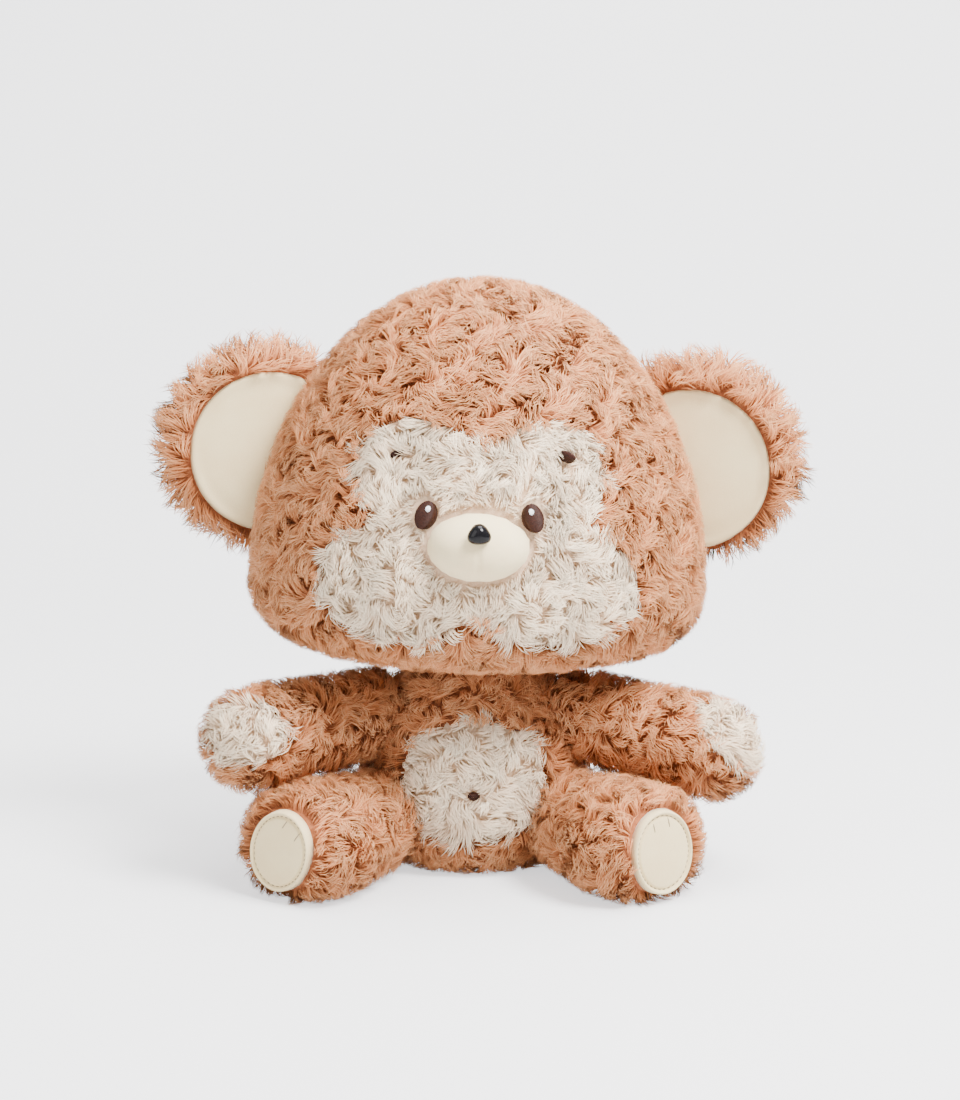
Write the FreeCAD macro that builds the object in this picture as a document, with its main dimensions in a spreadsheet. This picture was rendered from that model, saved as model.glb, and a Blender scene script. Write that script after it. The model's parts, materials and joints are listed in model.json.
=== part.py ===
"""A sitting stuffed monkey: sewn plush covers over fibre filling, with soft seams at neck, shoulders, hips and ears.

The monkey sits on z = 0 and faces -Y, with +X on its own left. Each cover is modelled as its fabric backing: the
pile that grows on it is extra. The root of each limb is a ball in a shallow dish, so a limb flexes about its seam.
All sizes are millimetres and degrees.
"""

import FreeCAD
import Part
import Sketcher

import math
import os
import re

from FreeCAD import Placement, Rotation, Vector

doc = FreeCAD.newDocument("StuffedMonkey")

# --- Driving dimensions -------------------------------------------------------------------------------------

SIZES = {
    # fabric, thread and the room left between pieces
    "fabric": 2.2,
    "thin_fabric": 1.0,
    "room": 0.4,
    "seam_room": 0.3,
    "thread": 1.2,
    "seam_reach": 1.8,
    # head: an egg with a flat underside, measured from the neck pivot
    "neck_height": 104,
    "head_half_width": 122,
    "head_half_depth": 100,
    "head_above": 169,
    "head_below": 42,
    "head_middle": 48,
    "head_underside": 24,
    "head_roll": 1.7,
    "neck_ball": 30,
    "neck_gap": 3,
    "neck_seam_level": 22,
    # face panel: an oval middle with two brow lobes and two cheek lobes, all cut this deep into the head
    "face_cut": 70,
    "face_level": 96,
    "face_half_width": 62,
    "face_half_height": 46,
    "lobe_spread": 34,
    "lobe_level": 125,
    "lobe_half_width": 34,
    "lobe_half_height": 30,
    "cheek_spread": 42,
    "cheek_level": 68,
    "cheek_half_width": 45,
    "cheek_half_height": 32,
    # eyes, brows, muzzle and nose, on the front of the head
    "eye_spread": 28,
    "eye_level": 105,
    "eye_half_width": 5.8,
    "eye_half_height": 7.8,
    "eye_lean": 20,
    "glint_radius": 0.95,
    "glint_inward": 1.8,
    "glint_above": 3.2,
    "brow_spread": 44,
    "brow_level": 135,
    "brow_half_length": 5,
    "brow_lean": 28,
    "muzzle_level": 89,
    "muzzle_back": 90,
    "muzzle_half_width": 30,
    "muzzle_half_height": 21.5,
    "muzzle_depth": 29,
    "nose_level": 98.5,
    "nose_half_width": 6,
    "nose_depth": 5.5,
    "nose_corner": 2.2,
    "nose_top": 2.6,
    "nose_foot": 3.2,
    "shank_radius": 2,
    "shank_length": 14,
    "washer_radius": 8,
    "washer_depth": 8,
    # ears
    "ear_reach": 122,
    "ear_level": 126,
    "ear_back": 12,
    "ear_radius": 57,
    "ear_half_thick": 8,
    "ear_cup": 12,
    "ear_gap": 4,
    "ear_root": 111.5,
    "ear_lean": 20.5,
    "ear_seam_half_length": 41,
    "lining_radius": 45,
    "lining_inward": 4,
    # torso: an egg with a flat seat
    "torso_half_width": 60,
    "torso_half_depth": 54,
    "torso_above": 82,
    "torso_below": 48,
    "torso_middle": 38,
    "seat_half_width": 33,
    "seat_half_depth": 29,
    "tummy_half_width": 43,
    "tummy_half_height": 34,
    "tummy_level": 55,
    "navel_level": 48,
    "navel_height": 1.6,
    "navel_cut": 12,
    "navel_half_length": 4,
    "navel_half_thread": 0.9,
    "navel_lean": 35,
    "ladder_level": 42,
    "ladder_step": 5,
    "ladder_half_length": 3,
    "ladder_thread": 0.45,
    "label_width": 15,
    "label_length": 14,
    "label_level": 24,
    "label_thick": 0.3,
    "label_bend": 0.6,
    "pouch_half_width": 28,
    "pouch_half_depth": 26,
    "pouch_half_height": 13,
    "pouch_level": 19,
    "pouch_back": 6,
    "filler_hole": 4,
    # arms
    "shoulder_spread": 51,
    "shoulder_front": 4,
    "shoulder_height": 84,
    "arm_root": 20,
    "arm_end": 24,
    "arm_length": 87,
    "arm_gap": 5,
    "shoulder_seam_behind": 16.5,
    "patch_half_length": 29,
    "patch_half_width": 13,
    "patch_cut": 14,
    "patch_turn": 50,
    # legs
    "hip_spread": 50,
    "hip_front": 25,
    "hip_height": 29,
    "leg_root": 22,
    "leg_length": 88,
    "leg_half_width": 35,
    "leg_half_height": 26.5,
    "sole_half_width": 25,
    "sole_half_height": 23.5,
    "pad_half_width": 18.5,
    "pad_half_height": 22.5,
    "stitch_inset": 3,
    "stitch_length": 1.7,
    "stitch_thread": 0.4,
    "stitch_height": 0.45,
    "toe_spread": 4.2,
    "toe_level": 13.2,
    "toe_length": 5,
    "leg_gap": 5,
    "hip_seam_behind": 6,
}

sheet = doc.addObject("Spreadsheet::Sheet", "Sizes")
for row, (alias, value) in enumerate(SIZES.items(), start=1):
    sheet.set(f"A{row}", alias)
    sheet.set(f"B{row}", str(value))
    sheet.setAlias(f"B{row}", alias)
doc.recompute()

NAMES = re.compile(r"\b(" + "|".join(sorted(SIZES, key=len, reverse=True)) + r")\b")
SIDES = {"left": 1, "right": -1}
# Each limb's rest direction: yaw turns the arm forward, and pitch lifts it.
# Roll turns the hand patch up, and patch_tilt turns the patch about its own middle.
ARM_REST = {
    "left": {"yaw": 22, "pitch": -9, "roll": 66, "patch_tilt": 0},
    "right": {"yaw": 38, "pitch": -2, "roll": 36, "patch_tilt": -30},
}
LEG_REST = {"left": {"yaw": 35, "pad_roll": 13}, "right": {"yaw": 37, "pad_roll": 31}}
# How far each ear's lining sits below the ear's middle.
LINING_DROP = {"left": 7, "right": 4}

kept = {}


def cells(text):
    """An expression in which each dimension's name refers to its cell."""
    return NAMES.sub(r"Sizes.\1", text)


def size(text):
    """A sum of dimensions and numbers as a plain number, for the few places that need one."""
    total = 0.0
    for sign, word in re.findall(r"([+-]?)\s*([\w.]+)", text):
        number = float(sheet.get(word)) if word in SIZES else float(word)
        total += -number if sign == "-" else number
    return total


# --- Small building blocks ----------------------------------------------------------------------------------


def bound(kind, name, at=None, turn=None, **sizes):
    """An object of this kind whose sizes follow the spreadsheet, and its place too if at is given."""
    item = doc.addObject(kind, name)
    for prop, text in sizes.items():
        if isinstance(text, str):
            item.setExpression(prop, cells(text))
        else:
            setattr(item, prop, text)
    if turn is not None:
        item.Placement = Placement(Vector(), turn)
    for axis, text in zip("xyz", at or ()):
        item.setExpression(f"Placement.Base.{axis}", cells(str(text)))
    return item


def ellipsoid(name, x, y, z, at=None, turn=None, low=-90, high=90):
    """An ellipsoid, or the part of it between two latitudes. x, y and z are its radii."""
    return bound("Part::Ellipsoid", name, at, turn, Radius2=x, Radius3=y, Radius1=z, Angle1=low, Angle2=high)


def ball(name, radius, at=None, turn=None):
    return bound("Part::Sphere", name, at, turn, Radius=radius)


def cut(name, base, *tools):
    item = doc.addObject("Part::Cut", name)
    item.Base = base
    item.Tool = tools[0] if len(tools) == 1 else fuse(name + "Tools", *tools)
    return item


def common(name, first, second):
    item = doc.addObject("Part::Common", name)
    item.Base = first
    item.Tool = second
    return item


def fuse(name, *pieces):
    item = doc.addObject("Part::MultiFuse", name)
    item.Shapes = list(pieces)
    return item


def egg(name, stem, inset):
    """Two half ellipsoids that share their widest level, all drawn in by inset. stem is head or torso."""
    radii = (f"{stem}_half_width - ({inset})", f"{stem}_half_depth - ({inset})")
    middle = (0, 0, f"{stem}_middle")
    top = ellipsoid(name + "Top", *radii, f"{stem}_above - ({inset})", middle, low=0)
    foot = ellipsoid(name + "Foot", *radii, f"{stem}_below - ({inset})", middle, high=0)
    return fuse(name + "Egg", top, foot)


def below(name, level):
    """A block that fills the space under a level."""
    wide = 400
    return bound("Part::Box", name, (-wide / 2, -wide / 2, f"{level} - {wide}"), Length=wide, Width=wide, Height=wide)


def keep(node, item, place=Placement()):
    """Names a finished sub-part and puts it in its place on the toy."""
    item.Label = node
    item.Placement = place.multiply(item.Placement)
    kept[node] = item
    return item


def sketch_on(body, role, offset=0.0):
    """A sketch on one of the body's own origin planes, moved along that plane's normal."""
    plane = next(item for item in body.Origin.OriginFeatures if item.Role == role)
    sketch = body.newObject("Sketcher::SketchObject", body.Name + role + str(len(body.Group)))
    sketch.AttachmentSupport = [(plane, "")]
    sketch.MapMode = "FlatFace"
    sketch.AttachmentOffset = Placement(Vector(0, 0, offset), Rotation())
    return sketch


def pad(body, sketch, length):
    feature = body.newObject("PartDesign::Pad", body.Name + "Pad" + str(len(body.Group)))
    feature.Profile = sketch
    feature.setExpression("Length", cells(length))
    return feature


# --- Frames of the moving groups ----------------------------------------------------------------------------

HEAD = Placement(Vector(0, 0, size("neck_height")), Rotation(Vector(0, 1, 0), size("head_roll")))


def arm_frame(side):
    """The arm's own frame: origin at the shoulder pivot and +X along the arm."""
    rest, sign = ARM_REST[side], SIDES[side]
    pivot = Vector(sign * size("shoulder_spread"), -size("shoulder_front"), size("shoulder_height"))
    yaw = -rest["yaw"] if sign > 0 else 180 + rest["yaw"]
    turn = Rotation(Vector(0, 0, 1), yaw)
    turn = turn.multiply(Rotation(Vector(0, 1, 0), -rest["pitch"]))
    return Placement(pivot, turn.multiply(Rotation(Vector(1, 0, 0), sign * -rest["roll"])))


def leg_frame(side):
    """The leg's own frame: origin at the hip pivot, +X along the leg and +Z up."""
    sign = SIDES[side]
    pivot = Vector(sign * size("hip_spread"), -size("hip_front"), size("hip_height"))
    return Placement(pivot, Rotation(Vector(0, 0, 1), -90 + sign * LEG_REST[side]["yaw"]))


# --- Head ---------------------------------------------------------------------------------------------------


def head_solid(name, inset):
    """The head's outside drawn in by inset, with its flat underside and the dish over the neck."""
    body = egg(name, "head", inset)
    floor = below(name + "Floor", f"head_underside + {inset}")
    dish = ball(name + "Dish", f"neck_ball + neck_gap + {inset}")
    return cut(name, body, floor, dish)


def build_head():
    outside = head_solid("HeadOutside", "0")
    shell = cut("HeadShell", outside, head_solid("HeadInside", "fabric"))
    keep("face_panel", common("FacePanel", shell, face_cutter("FaceEdge", "0")), HEAD)
    keep("head_cover", cut("HeadCover", shell, face_cutter("FaceHole", "seam_room")), HEAD)
    keep("head_stuffing", head_solid("HeadStuffing", "fabric + room"), HEAD)
    build_muzzle()
    build_eyes()


def face_cutter(name, grow):
    """The face panel's outline, as ellipsoids that run through the front of the head: brow, cheeks and chin."""
    front = "-head_half_depth"

    def lobe(part, stem, at):
        return ellipsoid(name + part, f"{stem}_half_width + {grow}", "face_cut", f"{stem}_half_height + {grow}", at)

    lobes = [lobe("Middle", "face", (0, front, "face_level"))]
    for side, sign in SIDES.items():
        lobes.append(lobe(side + "Brow", "lobe", (f"{sign} * lobe_spread", front, "lobe_level")))
        lobes.append(lobe(side + "Cheek", "cheek", (f"{sign} * cheek_spread", front, "cheek_level")))
    return fuse(name, *lobes)


def on_head(name, inner, outer, cutter):
    """A thin layer that lies on the face, between two heights above the head's fabric."""
    over, under = egg(name + "Out", "head", f"0 - ({outer})"), egg(name + "In", "head", f"0 - ({inner})")
    return common(name, cut(name + "Layer", over, under), cutter)


def build_muzzle():
    """The smooth snout: a padded oval sewn on the face, with a plastic nose held by a washer inside."""
    face = egg("MuzzleBed", "head", "0 - seam_room")
    place = (0, "-muzzle_back", "muzzle_level")

    def oval(name, inset):
        names = ("muzzle_half_width", "muzzle_depth", "muzzle_half_height")
        radii = [f"{size_name} - ({inset})" for size_name in names]
        return ellipsoid(name, *radii, place)

    shell = cut("MuzzleShell", oval("MuzzleOutside", "0"), oval("MuzzleInside", "thin_fabric"), face)
    filling = cut("MuzzleFilling", oval("MuzzleCore", "thin_fabric + room"), face)

    # The nose sits square to the snout where it meets the nose's level.
    rise = size("nose_level - muzzle_level") / size("muzzle_half_height")
    surface = size("muzzle_depth") * math.sqrt(1 - rise**2)
    normal = Vector(0, -surface / size("muzzle_depth") ** 2, rise / size("muzzle_half_height"))
    nose_frame = Placement(
        Vector(0, -size("muzzle_back") - surface, size("nose_level")), Rotation(Vector(0, 0, 1), normal)
    )

    shank_hole = bound("Part::Cylinder", "ShankHole", Radius="shank_radius + room", Height="shank_length * 2")
    shank_hole.Placement = nose_frame.multiply(Placement(Vector(0, 0, -size("shank_length") * 1.5), Rotation()))
    washer_room = bound("Part::Cylinder", "WasherRoom", Radius="washer_radius + room", Height="shank_length + 2")
    washer_room.Placement = nose_frame.multiply(Placement(Vector(0, 0, -size("shank_length") - 2), Rotation()))

    keep("muzzle_cover", cut("MuzzleCover", shell, shank_hole), HEAD)
    keep("muzzle_stuffing", cut("MuzzleStuffing", filling, washer_room), HEAD)
    keep("nose", build_nose(), HEAD.multiply(nose_frame))
    keep("nose_washer", build_washer(), HEAD.multiply(nose_frame))


def build_nose():
    """A moulded nose: a rounded triangle with a domed front, and the shank that goes through the fabric."""
    body = doc.addObject("PartDesign::Body", "NoseOutline")
    outline = sketch_on(body, "XY_Plane", size("seam_room"))
    corner = size("nose_corner")
    reach = size("nose_half_width") - corner
    top = size("nose_top")
    corners = [Vector(-reach, top, 0), Vector(reach, top, 0), Vector(0, -size("nose_foot"), 0)]
    # Three corner arcs joined by the straight lines that touch them.
    for index, middle in enumerate(corners):
        ahead, behind = corners[(index + 1) % 3], corners[index - 1]
        enter = (middle - behind).cross(Vector(0, 0, -1)).normalize() * corner
        leave = (ahead - middle).cross(Vector(0, 0, -1)).normalize() * corner
        bulge = (enter + leave).normalize() * corner
        outline.addGeometry(Part.Arc(middle + enter, middle + bulge, middle + leave), False)
        outline.addGeometry(Part.LineSegment(middle + leave, ahead + leave), False)
    pad(body, outline, "nose_depth")
    dome = ellipsoid("NoseDome", "nose_half_width + 1.2", "nose_half_width + 0.8", "nose_depth", (0, 0, "seam_room"))
    shank = bound("Part::Cylinder", "NoseShank", (0, 0, "1 - shank_length"), Radius="shank_radius")
    shank.setExpression("Height", cells("shank_length + seam_room"))
    return fuse("Nose", common("NoseFront", body, dome), shank)


def build_washer():
    """The toothed lock washer that holds the nose from inside, as a ring that grips the shank."""
    body = doc.addObject("PartDesign::Body", "NoseWasher")
    disc = sketch_on(body, "XY_Plane", -size("washer_depth"))
    for name, circle in (("washer_radius", 8), ("shank_radius + 0.05", 2.05)):
        ring = disc.addGeometry(Part.Circle(Vector(), Vector(0, 0, 1), circle), False)
        radius = disc.addConstraint(Sketcher.Constraint("Radius", ring, circle))
        disc.setExpression(f"Constraints[{radius}]", cells(name))
    pad(body, disc, "thin_fabric + 0.8")
    return body


def build_eyes():
    """Embroidered eyes, the glint stitched on each, and short brows under the pile."""
    through = "40"
    radii = ("muzzle_half_width + room", "muzzle_depth + room", "muzzle_half_height + room")
    snout = ellipsoid("SnoutRoom", *radii, (0, "-muzzle_back", "muzzle_level"))
    for side, sign in SIDES.items():
        lean = Rotation(Vector(0, 1, 0), sign * -size("eye_lean"))
        at = (f"{sign} * eye_spread", "-head_half_depth", "eye_level")
        disc = ellipsoid(side + "EyeEdge", "eye_half_width", through, "eye_half_height", at, lean)
        oval = on_head(side + "EyeOval", "room", "room + thread", disc)
        keep(side + "_eye", cut(side + "Eye", oval, snout), HEAD)
        at = (f"{sign} * (eye_spread - glint_inward)", "-head_half_depth", "eye_level + glint_above")
        disc = ellipsoid(side + "GlintEdge", "glint_radius", through, "glint_radius * 1.4", at, lean)
        keep(side + "_eye_glint", on_head(side + "Glint", "room * 2 + thread", "room * 3 + thread", disc), HEAD)
        at = (f"{sign} * brow_spread", "-head_half_depth", "brow_level")
        lean = Rotation(Vector(0, 1, 0), sign * size("brow_lean"))
        disc = ellipsoid(side + "BrowEdge", "brow_half_length", through, "thread", at, lean)
        keep(side + "_brow_stitch", on_head(side + "Brow", "room", "room + thread", disc), HEAD)


# --- Ears ---------------------------------------------------------------------------------------------------


def build_ear(side):
    """A round padded ear in the head's frame: plush outside, smooth lining in front, and wadding between."""
    sign = SIDES[side]
    cup = Rotation(Vector(0, 0, 1), sign * -size("ear_cup"))
    place = (f"{sign} * ear_reach", "ear_back", "ear_level")
    bed = egg(side + "EarBed", "head", "0 - ear_gap")
    fold = Rotation(Vector(0, 1, 0), sign * -size("ear_lean"))
    hinge = Placement(Vector(sign * size("ear_root"), size("ear_back"), size("ear_level")), fold)

    def seam(name, radius, half_length):
        line = bound("Part::Cylinder", name, Radius=radius, Height=f"2 * {half_length}")
        line.Placement = hinge.multiply(Placement(Vector(0, 0, -size(half_length)), Rotation()))
        return line

    def pillow(name, inset):
        radii = (f"ear_radius - ({inset})", f"ear_half_thick - ({inset})", f"ear_radius - ({inset})")
        trimmed = cut(name + "Trim", ellipsoid(name, *radii, place, cup), bed)
        return cut(name + "Root", trimmed, seam(name + "Groove", f"thread + {inset}", "head_half_depth"))

    def front_round(name, grow):
        edge = bound("Part::Cylinder", name, Radius=f"lining_radius + {grow}", Height="ear_radius")
        level = size("ear_level") - LINING_DROP[side]
        inward = Vector(sign * size("ear_reach - lining_inward"), size("ear_back"), level)
        edge.Placement = Placement(inward, cup.multiply(Rotation(Vector(1, 0, 0), 90)))
        return edge

    shell = cut(side + "EarShell", pillow(side + "EarOutside", "0"), pillow(side + "EarInside", "fabric"))
    keep(side + "_ear_lining", common(side + "EarLining", shell, front_round(side + "LiningEdge", "0")), HEAD)
    keep(side + "_ear_cover", cut(side + "EarCover", shell, front_round(side + "LiningHole", "seam_room")), HEAD)
    keep(side + "_ear_wadding", pillow(side + "EarWadding", "fabric + room"), HEAD)
    keep(side + "_ear_seam", seam(side + "EarSeam", "thread / 2", "ear_seam_half_length"), HEAD)


# --- Torso --------------------------------------------------------------------------------------------------


def torso_solid(name, inset):
    """The torso's outside drawn in by inset: an egg with a flat seat, a neck ball and a dish for each limb."""
    body = egg(name, "torso", inset)
    neck = ball(name + "Neck", f"neck_ball - ({inset})", (0, 0, "neck_height"))
    dishes = [below(name + "Floor", inset)]
    for side, sign in SIDES.items():
        shoulder = (f"{sign} * shoulder_spread", "-shoulder_front", "shoulder_height")
        hip = (f"{sign} * hip_spread", "-hip_front", "hip_height")
        dishes.append(ball(name + side + "Shoulder", f"arm_root + arm_gap + {inset}", shoulder))
        dishes.append(ball(name + side + "Hip", f"leg_root + leg_gap + {inset}", hip))
    return cut(name, fuse(name + "Whole", body, neck), *dishes)


def build_torso():
    shell = cut("TorsoShell", torso_solid("TorsoOutside", "0"), torso_solid("TorsoInside", "fabric"))

    def tummy(name, grow):
        radii = (f"tummy_half_width + {grow}", f"tummy_half_height + {grow}", "40")
        return ellipsoid(name, *radii, (0, "-torso_half_depth", "tummy_level"), Rotation(Vector(1, 0, 0), 90))

    def seat(name, grow):
        return ellipsoid(name, f"seat_half_width + {grow}", f"seat_half_depth + {grow}", "6", (0, 0, 0))

    keep("tummy_patch", common("TummyPatch", shell, tummy("TummyEdge", "0")))
    keep("seat_panel", common("SeatPanel", shell, seat("SeatEdge", "0")))
    holes = (tummy("TummyHole", "seam_room"), seat("SeatHole", "seam_room"))
    keep("torso_cover", cut("TorsoCover", shell, *holes))

    middle = (0, "pouch_back", "pouch_level")

    def pouch(name, inset):
        radii = [f"pouch_half_{word} - ({inset})" for word in ("width", "depth", "height")]
        return ellipsoid(name, *radii, middle)

    filling = torso_solid("TorsoFilling", "fabric + room")
    neck_room = ball("NeckRoom", "neck_ball - fabric - room * 2", (0, 0, "neck_height"))
    keep("torso_stuffing", cut("TorsoStuffing", filling, pouch("PouchRoom", "(0 - 0.4)"), neck_room))
    filler_hole = bound("Part::Cylinder", "FillerHole", middle, Radius="filler_hole", Height="pouch_half_height")
    holes = (pouch("PouchInside", "thin_fabric"), filler_hole)
    keep("pellet_pouch", cut("PelletPouch", pouch("PouchOutside", "0"), *holes))
    keep("pellet_fill", pouch("PelletFill", "thin_fabric + room"))

    # The neck's own filling turns inside the neck ball, and its seam runs in the gap under the head.
    keep("neck_stuffing", ball("NeckStuffing", "neck_ball - fabric - room * 3", (0, 0, "neck_height")))
    seam = bound("Part::Torus", "NeckSeam", (0, 0, "neck_height + neck_seam_level"), Radius2="thread / 2")
    reach = size("neck_ball") + size("neck_gap") / 2
    seam.Radius1 = math.sqrt(reach**2 - size("neck_seam_level") ** 2)
    keep("neck_seam", seam)
    build_navel()
    build_back_seam()
    build_label()


def build_navel():
    """Two crossed embroidery stitches on the tummy."""
    layer = cut("NavelLayer", egg("NavelOut", "torso", "0 - navel_height"), egg("NavelIn", "torso", "0 - room"))
    at = (0, "-torso_half_depth", "navel_level")
    strokes = []
    for side, sign in SIDES.items():
        lean = Rotation(Vector(0, 1, 0), sign * size("navel_lean"))
        radii = ("navel_half_length", "navel_cut", "navel_half_thread")
        strokes.append(ellipsoid(side + "NavelStroke", *radii, at, lean))
    keep("navel_stitch", common("NavelStitch", layer, fuse("NavelCross", *strokes)))


def build_back_seam():
    """The ladder stitches that close the back after stuffing: short separate threads across the seam."""
    stitches = []
    reach = size("ladder_half_length")
    for index in range(9):
        level = size("ladder_level") + size("ladder_step") * index
        rise = (level - size("torso_middle")) / size("torso_above")
        depth = size("torso_half_depth") * math.sqrt(1 - rise**2) + size("room + ladder_thread + seam_room")
        stitch = bound("Part::Cylinder", f"BackStitch{index}", Radius="ladder_thread", Height="2 * ladder_half_length")
        stitch.Placement = Placement(Vector(-reach, depth, level), Rotation(Vector(0, 1, 0), 90))
        stitches.append(stitch)
    group = doc.addObject("Part::Compound", "BackSeam")
    group.Links = stitches
    keep("back_seam", group)


def build_label():
    """The blank sewn-in care label: a folded satin loop low on the back."""
    body = doc.addObject("PartDesign::Body", "CareLabel")
    width = size("label_width")
    outline = sketch_on(body, "YZ_Plane", -width / 2)
    thick, bend, level = size("label_thick"), size("label_bend"), size("label_level")
    fall = (size("torso_middle") - level) / size("torso_below")
    start = size("torso_half_depth") * math.sqrt(1 - fall**2) + size("room")
    end = start + size("label_length")
    # A long hairpin: out along the bottom, round the fold and back along the top.
    points = [Vector(start, level - bend, 0), Vector(end, level - bend, 0)]
    outline.addGeometry(Part.LineSegment(points[0], points[1]), False)
    far = Vector(end + bend, level, 0)
    outline.addGeometry(Part.Arc(points[1], far, Vector(end, level + bend, 0)), False)
    outline.addGeometry(Part.LineSegment(Vector(end, level + bend, 0), Vector(start, level + bend, 0)), False)
    inner = bend - thick
    outline.addGeometry(Part.LineSegment(Vector(start, level + bend, 0), Vector(start, level + inner, 0)), False)
    outline.addGeometry(Part.LineSegment(Vector(start, level + inner, 0), Vector(end, level + inner, 0)), False)
    inside = Vector(end + inner, level, 0)
    outline.addGeometry(Part.Arc(Vector(end, level + inner, 0), inside, Vector(end, level - inner, 0)), False)
    outline.addGeometry(Part.LineSegment(Vector(end, level - inner, 0), Vector(start, level - inner, 0)), False)
    outline.addGeometry(Part.LineSegment(Vector(start, level - inner, 0), points[0]), False)
    pad(body, outline, "label_width")
    keep("care_label", body)


# --- Arms ---------------------------------------------------------------------------------------------------


def arm_solid(name, inset):
    """Two balls and the cone that touches both, drawn in by inset, along +X from the shoulder pivot."""
    along = Rotation(Vector(0, 1, 0), 90)
    slope = (size("arm_end") - size("arm_root")) / size("arm_length")
    level = math.sqrt(1 - slope**2)
    sleeve = bound("Part::Cone", name + "Sleeve", turn=along, Height="arm_length")
    sleeve.setExpression("Radius1", cells(f"(arm_root - ({inset})) / {level:.6f}"))
    sleeve.setExpression("Radius2", cells(f"(arm_end - ({inset})) / {level:.6f}"))
    hand = ball(name + "Hand", f"arm_end - ({inset})", ("arm_length", 0, 0))
    return fuse(name, ball(name + "Root", f"arm_root - ({inset})"), sleeve, hand)


def build_arm(side):
    sign, place = SIDES[side], arm_frame(side)
    shell = cut(side + "ArmShell", arm_solid(side + "ArmOutside", "0"), arm_solid(side + "ArmInside", "fabric"))
    # The pale patch wraps from the tip of the hand towards the side that faces forward at no roll.
    turn = Rotation(Vector(0, 0, 1), sign * -size("patch_turn"))
    out = turn.multVec(Vector(size("arm_end"), 0, 0))
    tilted = turn.multiply(Rotation(Vector(1, 0, 0), ARM_REST[side]["patch_tilt"]))

    def patch(name, grow):
        radii = ("patch_cut", f"patch_half_length + {grow}", f"patch_half_width + {grow}")
        at = (f"arm_length + {out.x:.4f}", f"{out.y:.4f}", 0)
        return ellipsoid(name, *radii, at, tilted)

    keep(side + "_hand_patch", common(side + "HandPatch", shell, patch(side + "PatchEdge", "0")), place)
    keep(side + "_arm_cover", cut(side + "ArmCover", shell, patch(side + "PatchHole", "seam_room")), place)
    core = ball(side + "ShoulderCore", "arm_root - fabric - room")
    filling = arm_solid(side + "ArmFilling", "fabric + room")
    keep(side + "_arm_stuffing", cut(side + "ArmStuffing", filling, core), place)
    keep(side + "_shoulder_stuffing", ball(side + "ShoulderStuffing", "arm_root - fabric - room * 2"), place)
    keep(side + "_shoulder_seam", seam_ring(side + "ShoulderSeam", "arm_root", "shoulder_seam_behind"), place)


def seam_ring(name, root, behind):
    """The sewn ring round a limb's ball, in the gap of its dish, on a plane behind the pivot."""
    middle = size(root) + size("seam_reach")
    ring = bound("Part::Torus", name, Radius2="thread / 2")
    ring.Radius1 = math.sqrt(middle**2 - size(behind) ** 2)
    ring.Placement = Placement(Vector(-size(behind), 0, 0), Rotation(Vector(0, 1, 0), 90))
    return ring


# --- Legs ---------------------------------------------------------------------------------------------------

# Each station of the leg: share of its length, then shares of its greatest half width and half height.
LEG_STATIONS = ((0.06, 0.48, 0.62), (0.34, 0.77, 0.91), (0.62, 1.0, 1.0), (0.86, 0.92, 0.99))


def leg_solid(name, inset):
    """A plump leg drawn in by inset, along +X from the hip pivot to the flat sole."""
    across = Rotation(Vector(0, 1, 0), Vector(0, 0, 1), Vector(1, 0, 0), "ZXY")
    stations = []

    def station(at, half_width, half_height):
        ring = bound("Part::Ellipse", f"{name}Ring{len(stations)}", (at, 0, 0), across)
        ring.setExpression("MajorRadius", cells(f"{half_width} - ({inset})"))
        ring.setExpression("MinorRadius", cells(f"{half_height} - ({inset})"))
        stations.append(ring)

    for along, wide, high in LEG_STATIONS:
        station(f"leg_length * {along}", f"leg_half_width * {wide}", f"leg_half_height * {high}")
    station(f"leg_length - ({inset})", "sole_half_width", "sole_half_height")
    loft = doc.addObject("Part::Loft", name + "Loft")
    loft.Sections = stations
    loft.Solid = True
    root = ball(name + "Root", f"leg_root - ({inset})", turn=Rotation(Vector(0, 1, 0), -90))
    return fuse(name, root, loft)


def sole_oval(name, half_width, half_height, start, thick, roll):
    """An oval plate square to the leg, from start along the leg, turned about the leg's axis."""
    oval = doc.addObject("Part::Ellipse", name + "Outline")
    oval.setExpression("MajorRadius", cells(half_height))
    oval.setExpression("MinorRadius", cells(half_width))
    oval.Placement = Placement(Vector(), sole_turn(roll))
    oval.setExpression("Placement.Base.x", cells(start))
    plate = doc.addObject("Part::Extrusion", name)
    plate.Base = oval
    plate.DirMode = "Custom"
    plate.Dir = Vector(1, 0, 0)
    plate.setExpression("LengthFwd", cells(thick))
    plate.Solid = True
    return plate


def sole_turn(roll):
    """Turns a flat outline square to the leg, with its long axis up and then rolled about the leg."""
    upright = Rotation(Vector(0, 0, 1), Vector(0, -1, 0), Vector(1, 0, 0), "ZXY")
    return Rotation(Vector(1, 0, 0), roll).multiply(upright)


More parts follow.
